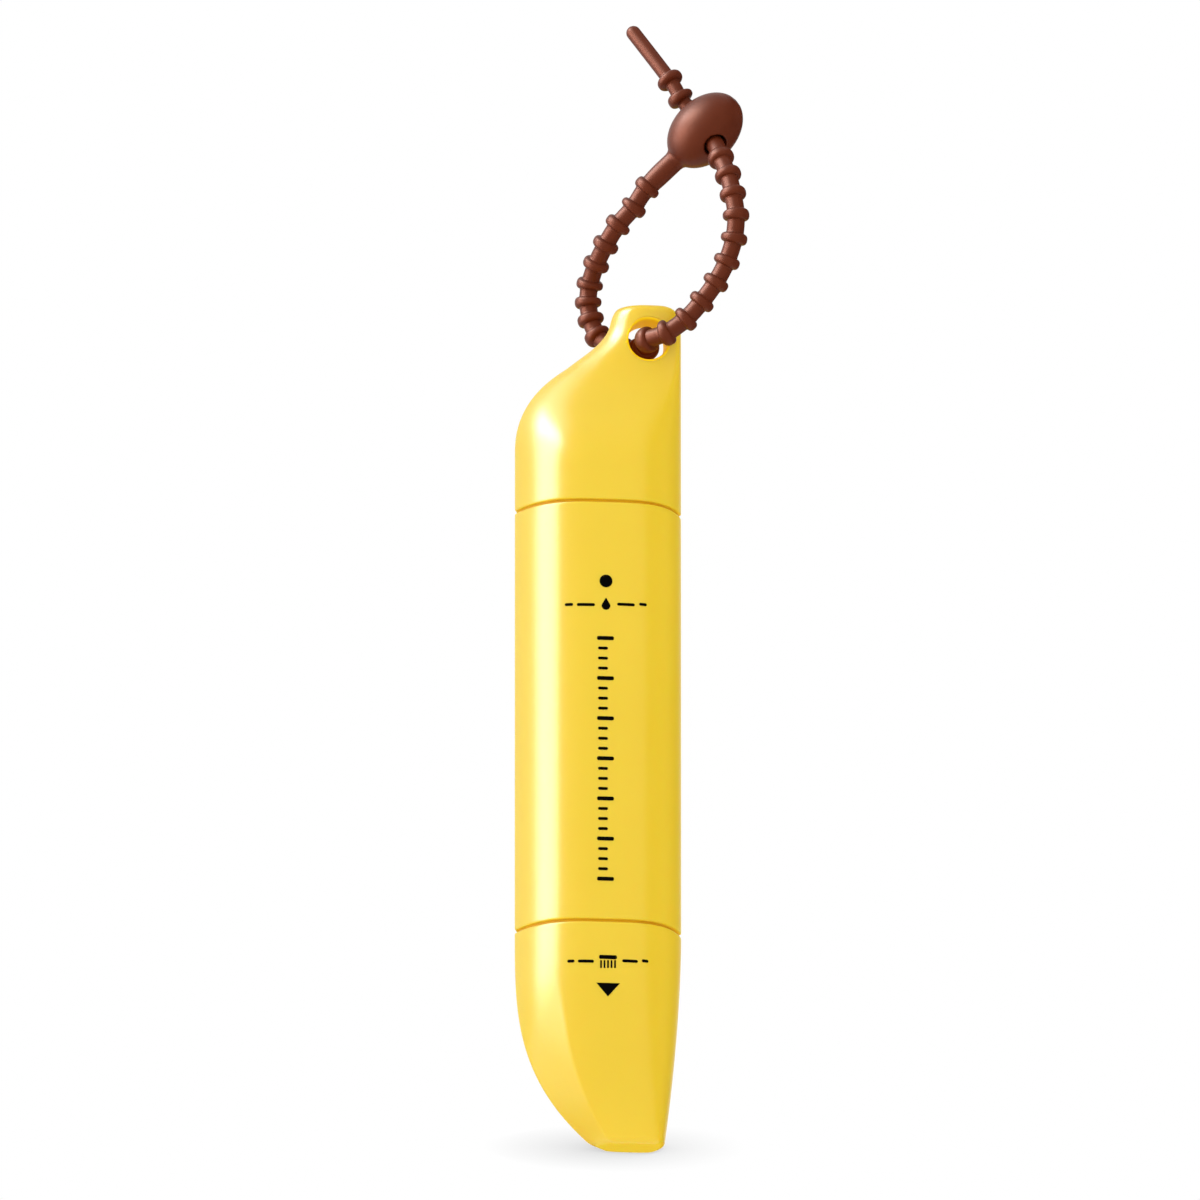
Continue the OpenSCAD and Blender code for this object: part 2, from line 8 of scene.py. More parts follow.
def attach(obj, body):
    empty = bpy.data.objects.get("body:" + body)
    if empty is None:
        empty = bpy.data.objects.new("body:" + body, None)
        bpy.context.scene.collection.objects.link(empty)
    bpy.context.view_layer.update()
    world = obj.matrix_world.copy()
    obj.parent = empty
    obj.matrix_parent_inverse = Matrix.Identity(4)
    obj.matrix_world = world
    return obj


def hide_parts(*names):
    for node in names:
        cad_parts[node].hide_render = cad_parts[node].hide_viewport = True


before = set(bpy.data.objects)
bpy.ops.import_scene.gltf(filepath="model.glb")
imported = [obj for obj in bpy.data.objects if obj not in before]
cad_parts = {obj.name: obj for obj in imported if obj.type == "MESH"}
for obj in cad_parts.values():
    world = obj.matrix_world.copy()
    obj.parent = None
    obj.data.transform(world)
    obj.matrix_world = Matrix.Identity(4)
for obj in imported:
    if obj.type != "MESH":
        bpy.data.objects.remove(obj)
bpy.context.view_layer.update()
random.seed(7)
MM = 0.001

# Camera
AZ, EL = math.radians(8), math.radians(12.5)  # to the left of the front, and below the foot
TO_CAMERA = Vector((-math.sin(AZ) * math.cos(EL), -math.cos(AZ) * math.cos(EL), -math.sin(EL)))
FRAME_PX, MM_PER_PIXEL = 1200, 0.1632
AXIS_PX, FOOT_PX = 598, 1152  # column of the pen's axis, and the row that is FOOT_DROP below the origin
FOOT_DROP, BEHIND = 1.0, 19.7  # in mm; the camera looks at a point that is BEHIND the origin
DISTANCE = 8.0
RIGHT = Vector((math.cos(AZ), -math.sin(AZ), 0))
UP = TO_CAMERA.cross(RIGHT)
MIDDLE = (RIGHT * (FRAME_PX / 2 - AXIS_PX) * MM_PER_PIXEL
          + UP * ((FOOT_PX - FRAME_PX / 2) * MM_PER_PIXEL - FOOT_DROP) - TO_CAMERA * BEHIND) * MM

camera_data = bpy.data.cameras.new("camera")
camera_data.sensor_width = 36
camera_data.lens = 36 * DISTANCE / (FRAME_PX * MM_PER_PIXEL * MM)
camera_data.clip_start, camera_data.clip_end = 0.1, 50
camera = bpy.data.objects.new("camera", camera_data)
bpy.context.collection.objects.link(camera)
camera.location = MIDDLE + TO_CAMERA * DISTANCE
camera.rotation_mode = "QUATERNION"
camera.rotation_quaternion = (-TO_CAMERA).to_track_quat("-Z", "Y")
bpy.context.scene.camera = camera
bpy.context.scene.view_settings.view_transform = "Standard"


# Helpers
def mix(a, b, share):
    return a + (b - a) * share


def clamp(x):
    return min(1.0, max(0.0, x))


def smooth(x):
    x = clamp(x)
    return x * x * (3 - 2 * x)


def new_mesh(name, verts, faces):
    """Smooth object from points in millimetres."""
    mesh = bpy.data.meshes.new(name)
    mesh.from_pydata([Vector(v) * MM for v in verts], [], faces)
    mesh.validate()
    mesh.update()
    for p in mesh.polygons:
        p.use_smooth = True
    obj = bpy.data.objects.new(name, mesh)
    bpy.context.collection.objects.link(obj)
    return obj


def skin(name, rings, cap_first=True, cap_last=True):
    """Rings of equal count joined to a skin, its ends filled by shrinking rings."""
    n = len(rings[0])

    def shrink(ring):
        c = sum((Vector(p) for p in ring), Vector()) / n
        return [[tuple(c + (Vector(p) - c) * f) for p in ring] for f in (0.85, 0.6, 0.3, 0.08)]

    if cap_first:
        rings = shrink(rings[0])[::-1] + rings
    if cap_last:
        rings = rings + shrink(rings[-1])
    verts = [p for ring in rings for p in ring]
    faces = []
    for k in range(len(rings) - 1):
        for i in range(n):
            j = (i + 1) % n
            faces.append((k * n + i, k * n + j, (k + 1) * n + j, (k + 1) * n + i))
    last = (len(rings) - 1) * n
    if cap_first:
        faces.append(tuple(range(n - 1, -1, -1)))
    if cap_last:
        faces.append(tuple(range(last, last + n)))
    return new_mesh(name, verts, faces)


def turned(name, outline, steps=96):
    """Closed outline of (radius, height) turned round Z."""
    verts, faces, rows = [], [], []
    for r, z in outline:
        if r < 1e-6:
            rows.append([len(verts)] * steps)
            verts.append((0, 0, z))
        else:
            rows.append(list(range(len(verts), len(verts) + steps)))
            verts += [(r * math.cos(2 * math.pi * i / steps), r * math.sin(2 * math.pi * i / steps), z)
                      for i in range(steps)]
    for a, b in zip(rows, rows[1:]):
        for i in range(steps):
            j = (i + 1) % steps
            face = []
            for v in (a[i], a[j], b[j], b[i]):
                if v not in face:
                    face.append(v)
            if len(face) > 2:
                faces.append(tuple(face))
    return new_mesh(name, verts, faces)


def apply_modifiers(obj):
    """Put the mesh that the modifiers give in place of the piece's own."""
    dg = bpy.context.evaluated_depsgraph_get()
    mesh = bpy.data.meshes.new_from_object(obj.evaluated_get(dg))
    old = obj.data
    obj.modifiers.clear()
    obj.data = mesh
    bpy.data.meshes.remove(old)


def cut(obj, cutter):
    """Take a cutter out of a piece and remove the cutter."""
    m = obj.modifiers.new("cut", "BOOLEAN")
    m.operation, m.solver, m.object = "DIFFERENCE", "EXACT", cutter
    bpy.context.view_layer.update()
    apply_modifiers(obj)
    bpy.data.objects.remove(cutter)


def smooth_by_angle(obj, degrees):
    """Smooth faces, with the edges that bend more than an angle kept sharp."""
    for p in obj.data.polygons:
        p.use_smooth = True
    obj.data.set_sharp_from_angle(angle=math.radians(degrees))


def place(obj, body, slot, m, *nodes):
    """Give a piece its material and body, and hide the nodes that it stands in for; the slot is not used."""
    obj.data.materials.clear()
    obj.data.materials.append(m)
    for p in obj.data.polygons:
        p.material_index = 0
    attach(obj, body)
    if nodes:
        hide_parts(*nodes)


# Materials
def material(name, color, rough, specular=0.5, **more):
    """Principled material; other inputs are named with _ for a space."""
    m = bpy.data.materials.new(name)
    m.use_nodes = True
    s = m.node_tree.nodes["Principled BSDF"]
    s.inputs["Base Color"].default_value = (*color, 1)
    s.inputs["Roughness"].default_value = rough
    s.inputs["Specular IOR Level"].default_value = specular
    for key, value in more.items():
        s.inputs[key.replace("_", " ")].default_value = value
    return m


def noise_into(m, scale, detail, kind, takes, gives, target):
    """Noise at a scale in cycles a metre, through a node of some kind, into an input of the shader."""
    t = m.node_tree
    where = t.nodes.new("ShaderNodeTexCoord")
    noise = t.nodes.new("ShaderNodeTexNoise")
    noise.inputs["Scale"].default_value = scale
    noise.inputs["Detail"].default_value = detail
    node = t.nodes.new(kind)
    t.links.new(where.outputs["Object"], noise.inputs["Vector"])
    t.links.new(noise.outputs["Fac"], node.inputs[takes])
    t.links.new(node.outputs[gives], t.nodes["Principled BSDF"].inputs[target])
    return node


def vary(m, scale, dark, light, detail=3):
    """Base colour between two tones."""
    ramp = noise_into(m, scale, detail, "ShaderNodeValToRGB", "Fac", "Color", "Base Color").color_ramp
    ends = ramp.elements
    ends[0].position, ends[1].position = 0.3, 0.7
    ends[0].color, ends[1].color = (*dark, 1), (*light, 1)


def rough_noise(m, scale, low, high):
    """Roughness between two values."""
    span = noise_into(m, scale, 3, "ShaderNodeMapRange", "Value", "Result", "Roughness")
    span.inputs["To Min"].default_value = low
    span.inputs["To Max"].default_value = high


def bump(m, scale, distance_mm, strength, detail=2):
    """Fine relief."""
    relief = noise_into(m, scale, detail, "ShaderNodeBump", "Height", "Normal", "Normal")
    relief.inputs["Strength"].default_value = strength
    relief.inputs["Distance"].default_value = distance_mm * MM


yellow = material("yellow_plastic", (0.9, 0.62, 0.02), 0.3, Subsurface_Weight=0.4,
                  Subsurface_Radius=(1, 0.6, 0.1), Subsurface_Scale=0.002)
vary(yellow, 60, (0.89, 0.612, 0.018), (0.91, 0.628, 0.022))
rough_noise(yellow, 900, 0.27, 0.33)
bump(yellow, 2600, 0.01, 0.12)

# Painted glow: the eyelet's bore gets a brighter yellow and a faint orange emission, standing in for the
# light that the thin wall round the eyelet passes on
painted_glow_bore = material("yellow_plastic_bore_painted_glow", (0.99, 0.66, 0.01), 0.6, 0.1, Emission_Color=(1, 0.5, 0.005, 1),
                Emission_Strength=0.3)
vary(painted_glow_bore, 400, (0.98, 0.65, 0.009), (0.995, 0.67, 0.012))
bump(painted_glow_bore, 3000, 0.01, 0.2)

# The floor of the grooves at the seams lies in their shade
groove = material("yellow_plastic_groove", (0.72, 0.38, 0.01), 0.6, 0.1)
vary(groove, 400, (0.69, 0.36, 0.009), (0.75, 0.4, 0.012))
bump(groove, 3000, 0.01, 0.2)

brown = material("brown_silicone", (0.11, 0.018, 0.005), 0.38, 0.3, Specular_Tint=(1, 0.5, 0.36, 1))
vary(brown, 300, (0.102, 0.016, 0.0045), (0.12, 0.02, 0.006))
rough_noise(brown, 1500, 0.38, 0.48)
bump(brown, 4000, 0.01, 0.25)

white = material("white_plastic", (0.8, 0.8, 0.78), 0.4)
vary(white, 150, (0.78, 0.78, 0.755), (0.83, 0.83, 0.81))
bump(white, 3000, 0.01, 0.15)

grey = material("grey_plastic", (0.55, 0.6, 0.64), 0.4)
vary(grey, 150, (0.52, 0.57, 0.61), (0.58, 0.63, 0.67))
bump(grey, 3000, 0.01, 0.15)

rubber = material("black_rubber", (0.02, 0.02, 0.02), 0.6)
vary(rubber, 400, (0.016, 0.016, 0.016), (0.03, 0.03, 0.03))
bump(rubber, 5000, 0.01, 0.3)

felt = material("felt", (0.82, 0.79, 0.7), 0.9, 0.2)
vary(felt, 1800, (0.7, 0.67, 0.58), (0.9, 0.87, 0.8), 6)
bump(felt, 6000, 0.06, 0.8, 6)

steel = material("spring_steel", (0.6, 0.6, 0.6), 0.28, Metallic=1.0)
vary(steel, 700, (0.52, 0.52, 0.52), (0.68, 0.68, 0.68))
bump(steel, 5000, 0.005, 0.2)

nylon = material("nylon_filament", (0.86, 0.86, 0.83), 0.35)
vary(nylon, 500, (0.8, 0.8, 0.76), (0.92, 0.92, 0.9))

ink = material("black_print", (0.001, 0.001, 0.001), 0.5, 0.01)
vary(ink, 900, (0.0008, 0.0008, 0.0008), (0.002, 0.002, 0.0018))
bump(ink, 3000, 0.01, 0.2)

# Sizes in millimetres, as in the solids
HALF_W, HALF_D = 13.7, 11.0
FLAT_HALF = 7.6  # half the flat part of the front
FLAT_SHARE = FLAT_HALF / HALF_W
SIDE_RUN = HALF_W - FLAT_HALF  # width of a rounded side
SIDE_POWER, FACE_POWER = 3.5, 1.17
LOW, HIGH, TOP = 35.5, 105.5, 140.3  # the seams and the top
WALL = 1.5
LEFT_RUN_END, RIGHT_RUN_END = 2.3, 1.2  # widths of the rounded sides at the foot and at the lug
SHARES = [1 - (1 - k / 40) ** 1.7 for k in range(41)]  # of the way from the middle to a side ridge
BEVEL_END = 0.99


def section(left, right, depth, run_left, run_right, crisp=0):
    """Outline of the pen between two side ridges, its left edges bevelled as far as crisp says."""
    middle = (left + run_left + right - run_right) / 2
    flat = (right - run_right - left - run_left) / 2

    def x_at(s, run):
        return flat * s / FLAT_SHARE if s < FLAT_SHARE else flat + run * (s - FLAT_SHARE) / (1 - FLAT_SHARE)

    def y_at(s):
        return depth * (1 - s ** SIDE_POWER) ** (1 / FACE_POWER)

    def bevelled(s, y):
        if s <= FLAT_SHARE or s > BEVEL_END:
            return y
        share = (s - FLAT_SHARE) / (BEVEL_END - FLAT_SHARE)
        return mix(y, mix(y_at(FLAT_SHARE), y_at(BEVEL_END), share), crisp)

    quadrant = [(s, y_at(s)) for s in SHARES]
    left_side = [(s, bevelled(s, y)) for s, y in quadrant]
    ring = [(middle + x_at(s, run_right), y) for s, y in quadrant[::-1]]
    ring += [(middle - x_at(s, run_left), y) for s, y in left_side[1:]]
    ring += [(middle - x_at(s, run_left), -y) for s, y in left_side[-2::-1]]
    ring += [(middle + x_at(s, run_right), -y) for s, y in quadrant[1:-1]]
    return ring


def raised(ring, z):
    return [(x, y, z) for x, y in ring]


# Seams: (distance from the seam, inset) pairs for a shell's edge, from the groove outwards
GROOVE_HALF, LIP = 0.21, 0.65
SEAM = [(0.0, 0.5), (GROOVE_HALF, 0.5), (0.22, 0.3), (0.25, 0.17), (0.31, 0.08), (0.4, 0.025), (0.5, 0.006),
        (LIP, 0.0)]
SHELL_SHARP = 50


def body_section(inset):
    """Outline of the barrel."""
    return section(-HALF_W + inset, HALF_W - inset, HALF_D - inset, SIDE_RUN, SIDE_RUN)


def darken_groove(shell, *seams):
    """Put the groove's material on the upright faces at some seams."""
    shell.data.materials.append(groove)
    for p in shell.data.polygons:
        away = min(abs(p.center.z - seam * MM) for seam in seams)
        if away < (GROOVE_HALF + 0.005) * MM and abs(p.normal.z) < 0.5:
            p.material_index = len(shell.data.materials) - 1


# Barrel
rings = [raised(body_section(WALL), HIGH), raised(body_section(WALL), LOW)]
rings += [raised(body_section(i), LOW + d) for d, i in SEAM]
rings += [raised(body_section(0), mix(LOW + LIP, HIGH - LIP, k / 24)) for k in range(1, 24)]
rings += [raised(body_section(i), HIGH - d) for d, i in SEAM[::-1]]
rings.append(rings[0])
barrel = skin("barrel_shell", rings, False, False)
smooth_by_angle(barrel, SHELL_SHARP)
place(barrel, "pen_body", "shell", yellow, "barrel")
darken_groove(barrel, LOW, HIGH)

# Brush cap
TOE_LEFT, LEFT_POWER = 12.8, 3.3  # how far the left side comes in at the foot, and how late
TOE_RIGHT, RIGHT_POWER = 2.85, 1.75  # the right side
TOE_HALF_D, DEPTH_POWER = 4.35, 2.2
FOOT_ROUND, CAVITY_FLOOR = 1, 4
BEVEL_FROM, BEVEL_RUN = 0.25, 0.45  # shares of the way down over which the left edge gets its bevel


def toe_section(z, inset):
    """Outline of the brush cap at a height, with a rounded rim at the foot."""
    u = clamp(1 - z / LOW)
    under = max(0, FOOT_ROUND - max(z, 0))
    c = FOOT_ROUND - math.sqrt(max(0, FOOT_ROUND ** 2 - under ** 2)) + inset
    left, right = -HALF_W + TOE_LEFT * u ** LEFT_POWER + c, HALF_W - TOE_RIGHT * u ** RIGHT_POWER - c
    depth = mix(HALF_D, TOE_HALF_D, u ** DEPTH_POWER) - c
    run_left, run_right = mix(SIDE_RUN, LEFT_RUN_END, u ** 4), mix(SIDE_RUN, RIGHT_RUN_END, u * u)
    crisp = 0 if inset > 1 else smooth((u - BEVEL_FROM) / BEVEL_RUN)
    return section(left, right, depth, run_left, run_right, crisp)


heights = [FOOT_ROUND * (1 - math.cos(math.pi / 2 * k / 8)) for k in range(8)]
heights += [mix(FOOT_ROUND, LOW - LIP, k / 60) for k in range(60)]
rings = [raised(toe_section(z, 0), z) for z in heights]
rings += [raised(toe_section(LOW - d, i), LOW - d) for d, i in SEAM[::-1]]
rings += [raised(toe_section(min(LOW, z - WALL * (LOW - z) / LOW), WALL), z)
          for z in [mix(LOW, CAVITY_FLOOR, k / 24) for k in range(25)]]
brush_cap = skin("brush_cap_shell", rings)
smooth_by_angle(brush_cap, SHELL_SHARP)
place(brush_cap, "brush_cap_body", "shell", yellow, "brush_cap")
darken_groove(brush_cap, LOW)


# Remover cap
LEAN_FROM, LEAN_RUN = 6.5, 20  # where above the seam it starts to narrow to its lug, and over what height


def bezier(a, b, c, d, t):
    """Point of a cubic curve."""
    return a * (1 - t) ** 3 + b * 3 * (1 - t) ** 2 * t + c * 3 * (1 - t) * t * t + d * t ** 3


def turn(degrees):
    """Direction at an angle from the right in the front view."""
    return Vector((math.cos(math.radians(degrees)), math.sin(math.radians(degrees))))


LUG_ROUND, LUG_EDGE, LUG_D = 2.6, 1.2, 7.2  # its corners in the front view, its edges, its depth
# Left outline of the cap as (x, z)
shoulder = Vector((-HALF_W, HIGH + 10.3))
flank = Vector((-HALF_W + 8.85, TOP - 10.3))
lug = Vector((HALF_W - 11.7, TOP - LUG_ROUND - 0.4))
left_edge = [bezier(shoulder, shoulder + Vector((0, 9.1)), flank - 1.8 * turn(39.5), flank, k / 34)
             for k in range(34)]
left_edge += [bezier(flank, flank + 3.6 * turn(39.5), lug - 3 * turn(78), lug, k / 22) for k in range(22)]
left_edge += [bezier(lug, lug + LUG_ROUND * 0.6 * turn(78), Vector((lug.x + LUG_ROUND * 0.35, TOP)),
                     Vector((lug.x + LUG_ROUND * 0.85, TOP)), k / 16) for k in range(17)]


def left_at(z):
    """Left outline at a height."""
    for a, b in zip(left_edge, left_edge[1:]):
        if a.y <= z <= b.y and b.y > a.y:
            return mix(a.x, b.x, (z - a.y) / (b.y - a.y))
    return -HALF_W if z < shoulder.y else left_edge[-1].x


def corner_in(z, radius):
    """How far a rounding of the top edge comes in at a height."""
    over = max(0, z - (TOP - radius))
    return radius - math.sqrt(max(0, radius * radius - over * over))


def lug_section(z, above, inset, left=None):
    """Outline of the upper cap at a height, taken a little above it for the cavity."""
    at = z + above
    lean = smooth((at - HIGH - LEAN_FROM) / LEAN_RUN)
    run_left = mix(SIDE_RUN, LEFT_RUN_END, smooth((at - flank.y + 6) / (TOP - flank.y + 5)))
    run_right = mix(SIDE_RUN, RIGHT_RUN_END, lean)
    left = left_at(at) if left is None else left
    return section(left + inset, HALF_W - corner_in(at, LUG_ROUND) - inset,
                   mix(HALF_D, LUG_D / 2, lean) - corner_in(at, LUG_EDGE) - inset, run_left, run_right)


ROOF = 124.5
rings = [raised(lug_section(z, WALL * k / 24, WALL), z)
         for k, z in [(k, mix(HIGH, ROOF, k / 24)) for k in range(24, -1, -1)]]
rings += [raised(lug_section(HIGH, 0, i), HIGH + d) for d, i in SEAM]
rings += [raised(lug_section(z, 0, 0), z)
          for z in [mix(HIGH + LIP, shoulder.y, k / 14) for k in range(1, 14)]]
rings += [raised(lug_section(p.y, 0, 0, p.x), p.y) for p in left_edge]
remover_cap = skin("remover_cap_shell", rings)

# Eyelet
EYE_X, EYE_Z, EYE_R, EYE_ROUND = 7.9, 134.4, 3.3, 0.5
flare = []
for k in range(13):
    a = math.pi / 2 * k / 12
    flare.append((EYE_R + EYE_ROUND * (1 - math.cos(a)), LUG_D / 2 - EYE_ROUND * (1 - math.sin(a)) - 0.1))
flare.append((EYE_R + EYE_ROUND + 2, LUG_D / 2 + 4))
outline = [(0, -LUG_D / 2 - 4)] + [(r, -y) for r, y in flare[::-1]] + flare + [(0, LUG_D / 2 + 4)]
eyelet = turned("eyelet", outline, 120)
eye = Vector((EYE_X, 0, EYE_Z))
eyelet.matrix_world = Matrix.Translation(eye * MM) @ Matrix.Rotation(math.pi / 2, 4, "X")
cut(remover_cap, eyelet)
smooth_by_angle(remover_cap, SHELL_SHARP)
place(remover_cap, "remover_cap_body", "shell", yellow, "remover_cap")
# The faces of the eyelet's bore get the material with the painted glow
remover_cap.data.materials.append(painted_glow_bore)
for p in remover_cap.data.polygons:
    if math.dist((p.center.x, p.center.z), (EYE_X * MM, EYE_Z * MM)) < (EYE_R + 0.35) * MM:
        p.material_index = 1
darken_groove(remover_cap, HIGH)

# Strap: its route is a point for each bead, from the ball's neck to the tail's end, measured from the eyelet
ROUTE = [
    (4.9, 0.7, 31.2),
    (0.6, 2.7, 26.8), (-1.5, 3.8, 23.7), (-3.9, 5.0, 20.9), (-5.7, 6.6, 17.9),
    (-7.0, 8.6, 15.0), (-7.8, 10.4, 12.0), (-8.0, 10.9, 9.1), (-7.6, 10.7, 6.2), (-6.6, 10.0, 3.4),
    (-4.7, 8.5, 1.3), (-2.6, 6.4, 0.1), (-0.7, 3.6, -0.5), (0.0, -0.1, -0.7), (-0.2, -3.8, -0.2),
    (2.5, -6.3, 0.5), (5.5, -7.6, 2.6), (8.0, -8.5, 5.4), (10.2, -9.4, 8.5), (11.9, -10.2, 11.9),
    (13.0, -10.9, 15.6), (13.3, -11.1, 19.4), (12.9, -10.3, 23.1), (12.3, -8.9, 26.6), (11.4, -7.1, 29.8),
    (10.9, -4.8, 32.4), (9.6, -1.3, 35.8), (8.3, 2.2, 39.2),
    (6.2, 3.2, 42.1), (4.6, 4.3, 45.3), (-1.4, 9.0, 55.0),
]
HOLE_IN, BALL_AT, HOLE_OUT, TAIL_END = 25, 26, 27, 30
route = [Vector(p) + eye for p in ROUTE]
BALL_LEN, BALL_D, BALL_HOLE = 14.2, 10.4, 3.9
ball_axis = Vector((0.671, -0.305, 0.676)).normalized()
ball_centre = route[BALL_AT]
neck_at = BALL_LEN / 2 - 0.25
route[0] = ball_centre - neck_at * ball_axis


def along(station):
    """Point of a smooth curve through the stations of the route."""
    i = min(int(station), TAIL_END - 1)
    t = station - i
    p0, p1, p2, p3 = route[max(i - 1, 0)], route[i], route[i + 1], route[min(i + 2, TAIL_END)]
    return 0.5 * (2 * p1 + (p2 - p0) * t + (2 * p0 - 5 * p1 + 4 * p2 - p3) * t * t
                  + (3 * p1 - p0 - 3 * p2 + p3) * t ** 3)


# Centre line at even steps of length
fine = [along(k / 60) for k in range(60 * TAIL_END + 1)]
run = [0.0]
for a, b in zip(fine, fine[1:]):
    run.append(run[-1] + (b - a).length)
STRAP_LEN = run[-1]
bead_at = [run[60 * i] for i in range(1, TAIL_END) if i < HOLE_IN or i > HOLE_OUT]


def at_length(s):
    """Point of the centre line at a length from its start."""
    lo, hi = 0, len(run) - 1
    while hi - lo > 1:
        m = (lo + hi) // 2
        lo, hi = (m, hi) if run[m] <= s else (lo, m)
    return fine[lo].lerp(fine[hi], (s - run[lo]) / max(1e-9, run[hi] - run[lo]))


BEAD_R, BEAD_HALF, CORE_R, NECK_R, TAIL_R = 2.2, 0.85, 1.45, 1.75, 1.2
FILLET = 0.3


def strap_radius(s):
    """Radius at a length from the start: neck, core with beads, thinner tail with a round end."""
    neck = mix(NECK_R, CORE_R, smooth((s - 3.0) / 6.0))
    core = mix(neck, TAIL_R, smooth((s - run[60 * HOLE_OUT]) / 3.0))
    r = core
    for b in bead_at:
        d = abs(s - b)
        if d < BEAD_HALF:
            r = max(r, core + (BEAD_R - core) * (1 - (d / BEAD_HALF) ** 2.6) ** 0.5)
        elif d < BEAD_HALF + FILLET:
            r = max(r, core + 0.1 * (1 - (d - BEAD_HALF) / FILLET) ** 2)
    end = STRAP_LEN - s
    if end < TAIL_R:
        r *= math.sqrt(max(0.0, 1 - (1 - end / TAIL_R) ** 2))
    return r


# Rings, closer set at beads, fillets and the tail's end
RING_STEP = 0.45
stations = {0.0, STRAP_LEN}
s = 0.0
while s < STRAP_LEN:
    stations.add(round(s, 4))
    s += RING_STEP
for b in bead_at:
    for k in range(-14, 15):
        stations.add(round(b + BEAD_HALF * math.sin(math.pi / 2 * k / 14), 4))
    for k in (0.1, 0.2, 0.3):
        stations.add(round(b - BEAD_HALF - k, 4))
        stations.add(round(b + BEAD_HALF + k, 4))
for k in range(1, 9):
    stations.add(round(STRAP_LEN - TAIL_R * (1 - math.sin(math.pi / 2 * k / 9)), 4))
stations = sorted(x for x in stations if 0 <= x <= STRAP_LEN - 0.005)
SIDES = 40
line = [at_length(x) for x in stations]
ways = [(at_length(min(x + 0.15, STRAP_LEN)) - at_length(max(x - 0.15, 0))).normalized() for x in stations]
normal = ways[0].cross(Vector((0, 0, 1))).normalized()
angles = [2 * math.pi * k / SIDES for k in range(SIDES)]
rings = []
for x, p, way in zip(stations, line, ways):
    normal = (normal - normal.dot(way) * way).normalized()
    other = way.cross(normal)
    r = strap_radius(x)
    rings.append([tuple(p + r * (math.cos(a) * normal + math.sin(a) * other)) for a in angles])
strap = skin("strap_beaded", rings)
place(strap, "remover_cap_body", "silicone", brown, "strap_cord")


# Ball: an oval with a filleted neck, its hole's rims rounded by smoothing a fine remesh
def ball_radius(z):
    """Radius of the oval at a height on its axis."""
    return BALL_D / 2 * math.sqrt(max(0, 1 - (2 * z / BALL_LEN) ** 2))


def put_on_ball(obj, way):
    """Move a turned piece to the ball's middle, its axis along a direction."""
    obj.matrix_world = Matrix.Translation(ball_centre * MM) @ way.to_track_quat("Z", "Y").to_matrix().to_4x4()


neck_end = -neck_at - 0.9
profile = [(0, neck_end), (NECK_R, neck_end)]
for k in range(1, 8):
    z = neck_end + 0.3 * k
    if ball_radius(z) < NECK_R + 0.5:
        profile.append((NECK_R + 0.5 * (k / 5) ** 3, z))
z0 = profile[-1][1]
profile += [(ball_radius(z), z) for z in [mix(z0 + 0.25, BALL_LEN / 2, k / 70) for k in range(71)]]
ball = turned("strap_ball_oval", profile, 96)
put_on_ball(ball, ball_axis)
drill = turned("drill", [(0, -12), (BALL_HOLE / 2, -12), (BALL_HOLE / 2, 12), (0, 12)], 64)
put_on_ball(drill, (route[HOLE_OUT] - route[HOLE_IN]).normalized())
bpy.context.view_layer.update()
cut(ball, drill)
ball.data.transform(ball.matrix_world)
ball.matrix_world = Matrix.Identity(4)
remesh = ball.modifiers.new("remesh", "REMESH")
remesh.mode, remesh.voxel_size = "VOXEL", 0.00016
relax = ball.modifiers.new("relax", "SMOOTH")
relax.factor, relax.iterations = 0.5, 8
apply_modifiers(ball)
for p in ball.data.polygons:
    p.use_smooth = True
place(ball, "remover_cap_body", "silicone", brown, "strap_ball")

# Bristles
HEAD_R, HEAD_FACE, BACKING, BACKING_R, BRISTLE = 7.0, 25.2, 1.0, 6.6, 7.7
TUFT_PITCH, TUFT_R, TUFT_MARGIN, FILAMENTS, FILAMENT_R, TIP_R = 1.9, 0.62, 1.1, 34, 0.085, 0.04
SPREAD, ROOT = 0.42, 0.2  # of a tuft's tips, and depth of its root in the backing
GOLDEN_ANGLE = 2.399963
tufts = []
for row in range(-4, 5):
    for step in range(-4, 5):
        p = Vector((TUFT_PITCH * (step + (0 if row % 2 == 0 else 0.5)), TUFT_PITCH * row * math.sqrt(3) / 2))
        if p.length <= HEAD_R - TUFT_MARGIN:
            tufts.append(p)
verts, faces = [], []
for tuft in tufts:
    for k in range(FILAMENTS):
        r = TUFT_R * math.sqrt((k + 0.5) / FILAMENTS)
        a = GOLDEN_ANGLE * k + random.uniform(-0.2, 0.2)
        root = tuft + Vector((math.cos(a), math.sin(a))) * r
        lean = Vector((math.cos(a), math.sin(a))) * r * SPREAD
        bend = Vector((random.uniform(-0.1, 0.1), random.uniform(-0.1, 0.1)))
        length = BRISTLE - random.uniform(0, 0.14)
        first = len(verts)
        for j in range(6):
            t = j / 5
            c = root + lean * t + bend * t * t
            z = HEAD_FACE - BACKING + ROOT - (length + ROOT) * t
            rad = FILAMENT_R * (1 - 0.25 * t) if j < 5 else TIP_R
            for q in range(5):
                b = 2 * math.pi * q / 5
                verts.append((c.x + rad * math.cos(b), c.y + rad * math.sin(b), z))
        for j in range(5):
            for q in range(5):
                a0, a1 = first + j * 5 + q, first + j * 5 + (q + 1) % 5
                faces.append((a1, a0, a0 + 5, a1 + 5))
        faces.append(tuple(first + 25 + q for q in range(4, -1, -1)))
low, edge = HEAD_FACE - BACKING, 0.15
base = turned("backing", [(0, low), (BACKING_R - edge, low), (BACKING_R, low + edge), (BACKING_R, HEAD_FACE),
                          (0, HEAD_FACE)], 96)
bristles = new_mesh("bristle_tufts", verts, faces)
base.data.materials.append(white)
smooth_by_angle(base, 40)
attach(base, "pen_body")
place(bristles, "pen_body", "bristle", nylon, "bristles")

